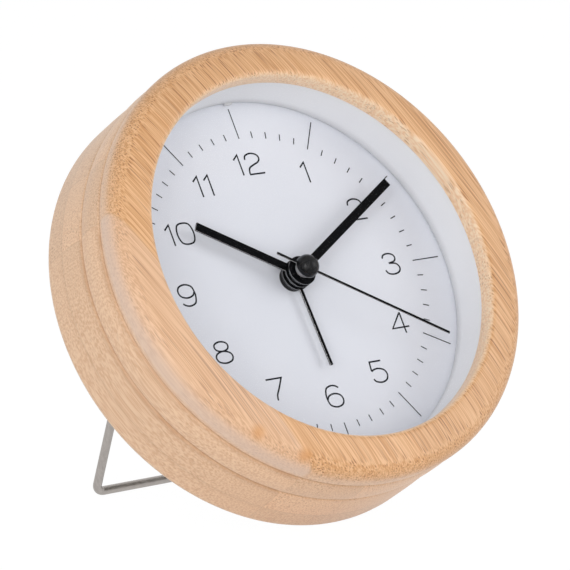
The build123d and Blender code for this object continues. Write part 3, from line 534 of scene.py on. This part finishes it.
def case_section():
    """Section of the wooden ring: from the rear round up the outside, over the crown, down the inside."""
    outside = arc(case_radius - rear_round, rear_z + rear_round, rear_round, -90, 0, 10)
    outside += ply_side(rear_crest_z, rear_groove_z, rear_crest_z)
    outside += ply_side(rear_groove_z, front_groove_z, (rear_groove_z + front_groove_z) / 2)[1:]
    outside += ply_side(front_groove_z, shoulder_z, shoulder_z)[1:]
    shoulder = arc(case_radius - shoulder_round, shoulder_z, shoulder_round, 0, shoulder_sweep, 16)[1:]
    # the crown is one arc that leaves the shoulder at its tangent and ends at the lip
    start = Vector(shoulder[-1])
    end = Vector((lip_radius, lip_z))
    inward = -Vector((cos(radians(shoulder_sweep)), sin(radians(shoulder_sweep))))
    chord = end - start
    radius = chord.length_squared / (2 * chord.dot(inward))
    middle = start + inward * radius
    first = atan2(start.y - middle.y, start.x - middle.x)
    last = atan2(end.y - middle.y, end.x - middle.x)
    last -= (last - first) * lip_round / chord.length
    angles = [first + (last - first) * i / 14 for i in range(1, 15)]
    crown = [(middle.x + radius * cos(a), middle.y + radius * sin(a)) for a in angles]
    lip = eased(crown[-1], (lip_radius, lip_z), (lip_radius, lip_z - lip_round))[1:]
    inside = [
        (lip_radius, lip_foot_z), (bore_radius, lip_foot_z), (bore_radius, cover_front_z),
        (cover_seat_radius, cover_front_z), (cover_seat_radius, rear_z),
    ]
    return outside + shoulder + crown + lip + inside


def flared_ring():
    """White ring between lens and dial: a slight flare, an eased foot with a fine dark line, and its key."""
    section = [
        (ring_radius, ring_top_z), (ring_radius, ring_seat_z), (ring_seat_radius, ring_seat_z),
        (ring_base_radius, 0.0),
    ]
    section += eased((dial_edge + 0.8, 0.0), (dial_edge + 0.1, 0.1), (dial_edge + 0.04, 0.9), 5)
    section += eased(
        (ring_top_radius - 0.04, ring_top_z - ring_ease), (ring_top_radius, ring_top_z),
        (ring_top_radius + ring_ease, ring_top_z), 5,
    )
    shape = turned(section)
    low, high = (-key_half, dial_edge - key_reach, 0.0), (key_half, dial_edge + key_root, key_height)
    add_block(shape, low, high, key_bevel)
    return shape


def glass_disc():
    """Flat glass with ground edges."""
    radius, rear, front, ground = glass_radius, glass_rear_z, glass_front_z, glass_bevel
    return turned([
        (0.0, rear), (radius - ground, rear), (radius, rear + ground), (radius, front - ground),
        (radius - ground, front), (0.0, front),
    ])


def second_hand_bush():
    """Short turned bush under the second hand, with broken edges."""
    return turned([
        (bush_bore, bush_rear_z), (bush_radius - bush_rear_bevel, bush_rear_z),
        (bush_radius, bush_rear_z + bush_rear_bevel), (bush_radius, bush_front_z - bush_front_bevel),
        (bush_radius - bush_front_bevel, bush_front_z), (bush_bore, bush_front_z),
    ], hub_steps)


def dressed(node, bevel_mm):
    """Welded copy of a CAD node, its sharp edges eased as a moulding or a tumbled part has them."""
    shape = bmesh.new()
    shape.from_mesh(frame["nodes"][node].data)
    bmesh.ops.remove_doubles(shape, verts=shape.verts, dist=weld_distance * MM)
    bmesh.ops.dissolve_limit(shape, angle_limit=radians(0.5), verts=shape.verts, edges=shape.edges)
    if bevel_mm:
        joined = [edge for edge in shape.edges if len(edge.link_faces) == 2]
        sharp = [edge for edge in joined if edge.calc_face_angle() > radians(sharp_deg)]
        bmesh.ops.bevel(
            shape, geom=sharp, offset=bevel_mm * MM, segments=2, profile=0.6, affect="EDGES",
            clamp_overlap=True,
        )
    return as_mesh(node + "_finished", shape)


def geometry_tree(name, inputs):
    """Empty geometry tree with named number inputs."""
    tree = bpy.data.node_groups.new(name, "GeometryNodeTree")
    for label, kind in inputs.items():
        tree.interface.new_socket(label, in_out="INPUT", socket_type="NodeSocket" + kind)
    tree.interface.new_socket("Geometry", in_out="OUTPUT", socket_type="NodeSocketGeometry")
    return tree, add(tree, "NodeGroupInput").outputs


def plain_mesh(name, tree, values):
    """Runs a geometry tree with its inputs set, and gives a plain mesh in the dial's frame."""
    holder = bpy.data.objects.new(name, bpy.data.meshes.new(name + "_seed"))
    bpy.context.scene.collection.objects.link(holder)
    modifier = holder.modifiers.new("make", "NODES")
    modifier.node_group = tree
    for item in tree.interface.items_tree:
        if item.in_out == "INPUT":
            modifier[item.identifier] = values[item.name]
    graph = bpy.context.evaluated_depsgraph_get()
    mesh = bpy.data.meshes.new_from_object(holder.evaluated_get(graph))
    bpy.data.objects.remove(holder)
    mesh.transform(DIAL)
    return mesh


def tick_tree():
    """Ring of flat radial ticks from one circle; every fifth is an hour mark and runs further out."""
    tree, size = geometry_tree("dial_ticks", {
        "Count": "Int", "Inner": "Float", "Minute Length": "Float", "Hour Length": "Float",
        "Width": "Float", "Height": "Float",
    })
    ring = add(tree, "GeometryNodeMeshCircle", {"Vertices": size["Count"], "Radius": size["Inner"]})
    bar = add(tree, "GeometryNodeMeshGrid", {
        "Size X": 1.0, "Size Y": size["Width"], "Vertices X": 2, "Vertices Y": 2,
    })
    bar = add(tree, "GeometryNodeTransform", {"Geometry": bar.outputs[0], "Translation": (0.5, 0, 0)})
    place = add(tree, "GeometryNodeInputPosition")
    turn = add(tree, "FunctionNodeAlignRotationToVector", {
        "Vector": place.outputs[0],
    }, axis="X", pivot_axis="Z")
    index = add(tree, "GeometryNodeInputIndex")
    order = add(tree, "ShaderNodeMath", {0: index.outputs[0], 1: 5.0}, operation="MODULO")
    hour = add(tree, "ShaderNodeMath", {0: order.outputs[0], 1: 0.5}, operation="LESS_THAN")
    length = add(tree, "ShaderNodeMix", {
        0: hour.outputs[0], 2: size["Minute Length"], 3: size["Hour Length"],
    })
    scale = add(tree, "ShaderNodeCombineXYZ", {0: length.outputs[0], 1: 1.0, 2: 1.0})
    laid = add(tree, "GeometryNodeInstanceOnPoints", {
        "Points": ring.outputs[0], "Instance": bar.outputs[0], "Rotation": turn.outputs[0],
        "Scale": scale.outputs[0],
    })
    rise = add(tree, "ShaderNodeCombineXYZ", {2: size["Height"]})
    lifted = add(tree, "GeometryNodeTransform", {
        "Geometry": laid.outputs[0], "Translation": rise.outputs[0],
    })
    solid = add(tree, "GeometryNodeRealizeInstances", {0: lifted.outputs[0]})
    inked = add(tree, "GeometryNodeSetMaterial", {"Geometry": solid.outputs[0], "Material": print_ink})
    add(tree, "NodeGroupOutput", {0: inked.outputs[0]})
    return tree


def screw_tree():
    """Ring of pan-head screws with cross recesses, driven from the rear."""
    tree, size = geometry_tree("cover_screws", {
        "Count": "Int", "Ring": "Float", "Turn": "Float", "Head Radius": "Float", "Head Height": "Float",
        "Shank Radius": "Float", "Shank Length": "Float", "Seat": "Float",
    })
    ring = add(tree, "GeometryNodeMeshCircle", {"Vertices": size["Count"], "Radius": size["Ring"]})
    spun = add(tree, "ShaderNodeCombineXYZ", {2: size["Turn"]})
    points = add(tree, "GeometryNodeTransform", {
        "Geometry": ring.outputs[0], "Rotation": spun.outputs[0],
    })
    screw = add(tree, "GeometryNodeMeshCylinder", {
        "Vertices": 40, "Radius": size["Head Radius"], "Depth": size["Head Height"],
    })
    # the cross is cut half-way into the head by two bars
    wide, narrow = [
        add(tree, "ShaderNodeMath", {0: size["Head Radius"], 1: share}, operation="MULTIPLY").outputs[0]
        for share in (1.15, 0.26)
    ]
    deep = add(tree, "ShaderNodeMath", {0: size["Head Height"], 1: -0.5}, operation="MULTIPLY")
    down = add(tree, "ShaderNodeCombineXYZ", {2: deep.outputs[0]})
    for x, y in ((wide, narrow), (narrow, wide)):
        span = add(tree, "ShaderNodeCombineXYZ", {0: x, 1: y, 2: size["Head Height"]})
        bar = add(tree, "GeometryNodeMeshCube", {"Size": span.outputs[0]})
        bar = add(tree, "GeometryNodeTransform", {
            "Geometry": bar.outputs[0], "Translation": down.outputs[0],
        })
        screw = add(tree, "GeometryNodeMeshBoolean", {
            "Mesh 1": screw.outputs[0], "Mesh 2": bar.outputs[0],
        }, operation="DIFFERENCE")
    shank = add(tree, "GeometryNodeMeshCylinder", {
        "Vertices": 24, "Radius": size["Shank Radius"], "Depth": size["Shank Length"],
    })
    rise = add(tree, "ShaderNodeMath", {0: size["Shank Length"], 1: size["Head Height"]}, operation="ADD")
    half = add(tree, "ShaderNodeMath", {0: rise.outputs[0], 1: 0.5}, operation="MULTIPLY")
    up = add(tree, "ShaderNodeCombineXYZ", {2: half.outputs[0]})
    shank = add(tree, "GeometryNodeTransform", {
        "Geometry": shank.outputs[0], "Translation": up.outputs[0],
    })
    whole = add(tree, "GeometryNodeJoinGeometry", {0: screw.outputs[0]})
    tree.links.new(shank.outputs[0], whole.inputs[0])
    placed = add(tree, "GeometryNodeInstanceOnPoints", {
        "Points": points.outputs[0], "Instance": whole.outputs[0],
    })
    sunk = add(tree, "ShaderNodeMath", {
        0: size["Head Height"], 1: -0.5, 2: size["Seat"],
    }, operation="MULTIPLY_ADD")
    depth = add(tree, "ShaderNodeCombineXYZ", {2: sunk.outputs[0]})
    lowered = add(tree, "GeometryNodeTransform", {
        "Geometry": placed.outputs[0], "Translation": depth.outputs[0],
    })
    solid = add(tree, "GeometryNodeRealizeInstances", {0: lowered.outputs[0]})
    plated = add(tree, "GeometryNodeSetMaterial", {"Geometry": solid.outputs[0], "Material": zinc_plate})
    add(tree, "NodeGroupOutput", {0: plated.outputs[0]})
    return tree


def smooth(points, closed=False, steps=7):
    """Smooth run through a few points of a numeral."""
    count = len(points)
    run = []
    for i in range(count if closed else count - 1):
        order = [(i + k) % count if closed else min(max(i + k, 0), count - 1) for k in (-1, 0, 1, 2)]
        near = [points[k] for k in order]
        for step in range(steps):
            t = step / steps
            weights = (
                -t + 2 * t * t - t ** 3, 2 - 5 * t * t + 3 * t ** 3, t + 4 * t * t - 3 * t ** 3,
                t ** 3 - t * t,
            )
            run.append(tuple(sum(w * p[axis] for w, p in zip(weights, near)) / 2 for axis in (0, 1)))
    run.append(points[0] if closed else points[-1])
    return run


SIX = smooth([
    (0.80, 0.86), (0.66, 0.96), (0.43, 1.0), (0.15, 0.90), (0.03, 0.63), (0.02, 0.36), (0.11, 0.11),
    (0.43, 0.0), (0.74, 0.09), (0.85, 0.31), (0.75, 0.53), (0.45, 0.62), (0.15, 0.54), (0.03, 0.38),
])
# Strokes of the plain numerals, in units of their height
NUMERALS = {
    "0": [smooth([
        (0.43, 1.0), (0.75, 0.90), (0.86, 0.5), (0.75, 0.10), (0.43, 0.0), (0.11, 0.10), (0.0, 0.5),
        (0.11, 0.90),
    ], True)],
    "1": [[(0.0, 0.77), (0.28, 1.0), (0.28, 0.0)]],
    "2": [smooth([
        (0.03, 0.72), (0.11, 0.91), (0.41, 1.0), (0.71, 0.91), (0.80, 0.72), (0.68, 0.55), (0.40, 0.44),
        (0.14, 0.31), (0.06, 0.10), (0.06, 0.0),
    ]) + [(0.87, 0.0)]],
    "3": [smooth([
        (0.06, 0.80), (0.17, 0.95), (0.42, 1.0), (0.67, 0.93), (0.76, 0.77), (0.66, 0.61), (0.33, 0.54),
    ]), smooth([
        (0.33, 0.54), (0.70, 0.48), (0.84, 0.27), (0.72, 0.07), (0.42, 0.0), (0.14, 0.06), (0.02, 0.23),
    ])],
    "4": [[(0.68, 1.0), (0.02, 0.29), (0.96, 0.29)], [(0.68, 1.0), (0.68, 0.0)]],
    "5": [[(0.72, 1.0), (0.10, 1.0), (0.05, 0.56)], smooth([
        (0.05, 0.56), (0.22, 0.63), (0.45, 0.65), (0.73, 0.55), (0.83, 0.33), (0.71, 0.09), (0.41, 0.0),
        (0.12, 0.07), (0.02, 0.20),
    ])],
    "6": [SIX],
    "7": [[(0.0, 1.0)] + smooth([(0.84, 1.0), (0.56, 0.56), (0.35, 0.26), (0.28, 0.0)])],
    "8": [smooth([
        (0.43, 1.0), (0.70, 0.93), (0.79, 0.78), (0.70, 0.62), (0.43, 0.55), (0.16, 0.62), (0.07, 0.78),
        (0.16, 0.93),
    ], True), smooth([
        (0.43, 0.55), (0.75, 0.46), (0.86, 0.28), (0.75, 0.08), (0.43, 0.0), (0.11, 0.08), (0.0, 0.28),
        (0.11, 0.46),
    ], True)],
    "9": [[(0.86 - x, 1.0 - y) for x, y in SIX]],
}
NUMERAL_WIDTHS = {"1": 0.28, "2": 0.87, "4": 0.96, "7": 0.84}
usual_width = 0.86


def ribbon(shape, points, width):
    """Flat stroke of even width along a run of points in the dial's frame."""
    sides = []
    for i, point in enumerate(points):
        before = Vector(points[max(i - 1, 0)])
        after = Vector(points[min(i + 1, len(points) - 1)])
        here = Vector(point)
        first = (here - before).normalized() if i else (after - here).normalized()
        second = (after - here).normalized() if i < len(points) - 1 else first
        across = (first + second).normalized()
        across = Vector((-across.y, across.x)) * (width / 2 / max(0.5, across.dot(first)))
        edges = [Vector((*side, print_z)) for side in (here + across, here - across)]
        sides.append([shape.verts.new(DIAL @ edge) for edge in edges])
    for (a, b), (c, d) in zip(sides, sides[1:]):
        shape.faces.new((a, b, d, c))


def hour_numerals():
    """The twelve hours, upright on their ring."""
    shape = bmesh.new()
    for hour in range(1, 13):
        digits = str(hour)
        widths = [NUMERAL_WIDTHS.get(digit, usual_width) for digit in digits]
        total = sum(widths) + numeral_gap * (len(digits) - 1)
        angle = radians(90 - 30 * hour)
        left = numeral_radius * cos(angle) - total / 2 * numeral_height
        low = numeral_radius * sin(angle) - numeral_height / 2
        for digit, width in zip(digits, widths):
            for stroke in NUMERALS[digit]:
                points = [(left + x * numeral_height, low + y * numeral_height) for x, y in stroke]
                ribbon(shape, points, numeral_stroke)
            left += (width + numeral_gap) * numeral_height
    return as_mesh("hour_numerals", shape)


# Wooden ring, flared ring, dial print and glass
piece(
    "bamboo_ring", as_mesh("bamboo_ring", turned(case_section())), [bamboo], "case", "bamboo", "wood_case",
    soft_deg=50,
)
piece(
    "flared_ring", as_mesh("flared_ring", flared_ring()), [ring_plastic], "case", "white_plastic",
    "reflector_ring",
)
ticks = plain_mesh("dial_ticks", tick_tree(), {
    "Count": 60, "Inner": tick_inner, "Minute Length": minute_tick, "Hour Length": tick_outer - tick_inner,
    "Width": tick_width, "Height": print_z,
})
piece("dial_ticks", ticks, [print_ink], "case", "dial_card")
piece("hour_numerals", hour_numerals(), [print_ink], "case", "dial_card")
piece("glass_disc", as_mesh("glass_disc", glass_disc()), [glass], "case", "lens_glass", "lens")

# Hands: painted, and bright where the eased edges slope between face and side
HANDS = {"hour_hand": "hour", "minute_hand": "minute", "alarm_hand": "alarm", "second_hand": "seconds"}
for node, body in HANDS.items():
    finishes = [hand_paint, cut_aluminium]
    blade = piece(node + "_blade", dressed(node, hand_edge), finishes, body, "black_hand", node)
    for face in blade.data.polygons:
        face.material_index = int(steepest < abs(face.normal.dot(outward)) < flattest)
dome = turned(arc(0.0, dome_z, dome_radius, 0, 90, 15) + [(0.0, dome_z)], hub_steps)
piece(
    "second_hand_dome", as_mesh("second_hand_dome", dome), [cap_plastic], "seconds", "black_hand",
    "second_hand_cap",
)
piece(
    "second_hand_bush", as_mesh("second_hand_bush", second_hand_bush()), [bright_pipe], "seconds",
    "bright_pipe", "second_hand_pipe",
)

# Stand, back cover and what is on it
piece("stand_bow", dressed("stand_wire", 0), [wire_steel], "stand", "stand_steel", "stand_wire", soft_deg=50)
MOULDINGS = [
    ("cover_moulding", "back_cover", moulding_edge, cover_plastic, "case", "cover_plastic"),
    ("door_moulding", "battery_door", moulding_edge, cover_plastic, "door", "cover_plastic"),
    ("time_knob_cap", "time_knob", knob_edge, knob_plastic, "motion", "black_plastic"),
    ("alarm_knob_cap", "alarm_knob", knob_edge, knob_plastic, "alarm_setting", "black_plastic"),
    ("alarm_slider", "alarm_switch", moulding_edge, knob_plastic, "switch", "black_plastic"),
]
for name, node, edge, finish, body, slot in MOULDINGS:
    piece(name, dressed(node, edge), [finish], body, slot, node)
screws = plain_mesh("cover_screws", screw_tree(), {
    "Count": 4, "Ring": 56.3, "Turn": radians(45), "Head Radius": 1.6, "Head Height": 0.9,
    "Shank Radius": 1.0, "Shank Length": 8.0, "Seat": -19.7,
})
piece("cover_screw_set", screws, [zinc_plate], "case", "screw_steel", "back_cover_screws")

# The other CAD nodes keep their shape and get their real finish
FINISHES = {
    "dial": dial_card, "movement_carrier": carrier_plastic, "front_plate": tube_plastic,
    "movement_housing": carrier_plastic, "movement_screws": zinc_plate, "stator": motor_iron,
    "coil_core": motor_iron, "coil": winding_copper, "circuit_board": solder_mask, "chip": chip_resin,
    "quartz_crystal": crystal_can, "buzzer": buzzer_brass, "alarm_contact": spring_brass,
    "battery": cell_jacket, "battery_plate_contact": spring_brass, "battery_leaf_contact": spring_brass,
    "rotor_magnet": magnet_stone, "rotor": gear_plastic, "intermediate_wheel": gear_plastic,
    "seconds_wheel": gear_plastic, "third_wheel": gear_plastic, "minute_wheel": gear_plastic,
    "motion_wheel": gear_plastic, "hour_wheel": gear_plastic, "alarm_wheel": tube_plastic,
    "alarm_pinion": gear_plastic,
}
for node, finish in FINISHES.items():
    slots = frame["nodes"][node].data.materials
    slots.clear()
    slots.append(finish)


def seen_directly(tree):
    """1 for rays from the camera and for rays that mirror or pass through the object, else 0."""
    rays = add(tree, "ShaderNodeLightPath").outputs
    seen = rays["Is Camera Ray"]
    for kind in ("Is Glossy Ray", "Is Transmission Ray"):
        seen = add(tree, "ShaderNodeMath", {0: seen, 1: rays[kind]}, operation="MAXIMUM").outputs[0]
    return seen


# Floor and world: white where they are seen, with the object's faint shadow kept on the floor
scene = bpy.context.scene
scene.view_settings.view_transform = "Standard"
sheet = bpy.data.meshes.new("floor")
corners = [(x * floor_half, y * floor_half, 0) for x, y in ((-1, -1), (1, -1), (1, 1), (-1, 1))]
sheet.from_pydata(corners, [], [(0, 1, 2, 3)])
floor = bpy.data.objects.new("floor", sheet)
scene.collection.objects.link(floor)
# White paper sweep: matt, and bright enough to meet the background
paper, tree, shader, _ = material("white_paper_sweep", Base_Color=srgb("#EEEEEE"), Roughness=0.9)
share = add(tree, "ShaderNodeMath", {0: seen_directly(tree), 1: 0.92}, operation="MULTIPLY")
glow = add(tree, "ShaderNodeEmission", {"Color": (1, 1, 1, 1), "Strength": 1.05})
blend = add(tree, "ShaderNodeMixShader", {0: share.outputs[0], 1: shader.outputs[0], 2: glow.outputs[0]})
tree.links.new(blend.outputs[0], tree.nodes["Material Output"].inputs["Surface"])
sheet.materials.append(paper)

world = bpy.data.worlds.new("studio")
scene.world = world
world.use_nodes = True
tree = world.node_tree
room = add(tree, "ShaderNodeBackground", {"Color": srgb("#FBFBFF"), "Strength": 0.45})
white = add(tree, "ShaderNodeBackground", {"Color": (1, 1, 1, 1), "Strength": 1.0})
blend = add(tree, "ShaderNodeMixShader", {
    0: seen_directly(tree), 1: room.outputs[0], 2: white.outputs[0],
})
tree.links.new(blend.outputs[0], tree.nodes["World Output"].inputs["Surface"])


def softbox(name, direction, width, height, power):
    """Soft light that looks at the dial from a direction given in the dial's frame."""
    lamp = bpy.data.lights.new(name, "AREA")
    lamp.shape = "RECTANGLE"
    lamp.size = width
    lamp.size_y = height
    lamp.energy = power
    holder = bpy.data.objects.new(name, lamp)
    scene.collection.objects.link(holder)
    towards = (DIAL_TURN @ Vector(direction)).normalized()
    holder.location = dial_centre + towards * lamp_distance
    holder.rotation_euler = towards.to_track_quat("Z", "Y").to_euler()


softbox("right_softbox", (0.75, -0.1, 0.9), 0.6, 0.6, 2.75)
softbox("left_softbox", (-0.9, -0.1, 0.65), 0.4, 0.6, 2.4)
softbox("front_softbox", (-0.5, -0.2, 0.8), 0.8, 0.8, 2.4)
softbox("upper_softbox", (-0.7, 0.7, 0.2), 0.5, 0.5, 0.6)

# Camera at the photograph's place, fitted to the dial's print and the ring's outline
camera_right = camera_forward.cross(Vector((0, 0, 1))).normalized()
camera_above = camera_right.cross(camera_forward)
view = bpy.data.cameras.new("photo_view")
view.sensor_width = camera_sensor
view.lens = camera_lens
camera = bpy.data.objects.new("photo_view", view)
scene.collection.objects.link(camera)
offset = camera_sideways * camera_right + camera_up * camera_above + camera_back * camera_forward
facing = Matrix((camera_right, camera_above, -camera_forward)).transposed().to_4x4()
camera.matrix_world = Matrix.Translation(dial_centre + offset * MM) @ facing
scene.camera = camera
